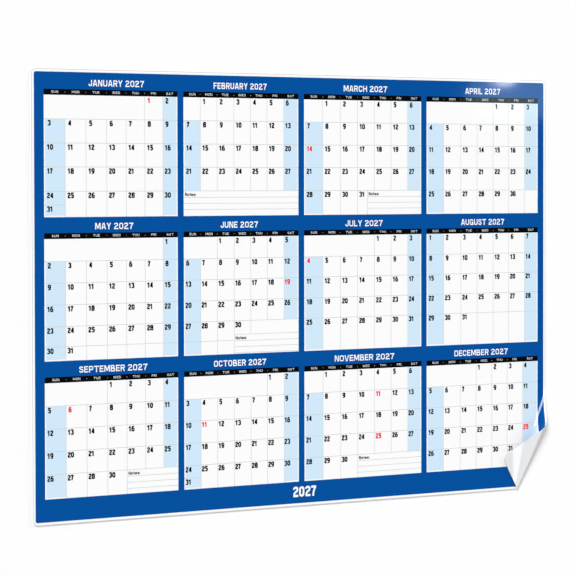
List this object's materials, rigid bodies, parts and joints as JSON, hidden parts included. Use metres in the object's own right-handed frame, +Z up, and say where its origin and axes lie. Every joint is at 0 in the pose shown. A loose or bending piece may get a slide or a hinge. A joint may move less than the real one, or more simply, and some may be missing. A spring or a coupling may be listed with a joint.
{
  "type": "wall calendar",
  "caption": "Laminated one-sheet yearly wall calendar with blue ground, white month grids and a lower corner turned up.",
  "frame": {"origin": "middle of the flat sheet's back, on the wall that it is fixed to", "axes": "+Z up, +X to the reader's right, -Y out of the printed front, +Y into the wall"},
  "size_m": [0.9145, 0.0162, 0.6097],
  "materials": {
    "laminated_paper": "white paper under clear gloss film",
    "blue_ink": "blue print under clear gloss film",
    "black_ink": "black print under clear gloss film",
    "pale_blue_ink": "pale blue print under clear gloss film",
    "grey_ink": "pale grey print under clear gloss film"
  },
  "bodies": {
    "root": {"laminated_sheet": "laminated_paper", "blue_ground_print": "blue_ink", "weekday_bar_print": "black_ink", "weekend_tint_print": "pale_blue_ink", "grid_rule_print": "grey_ink"}
  },
  "joints": []
}
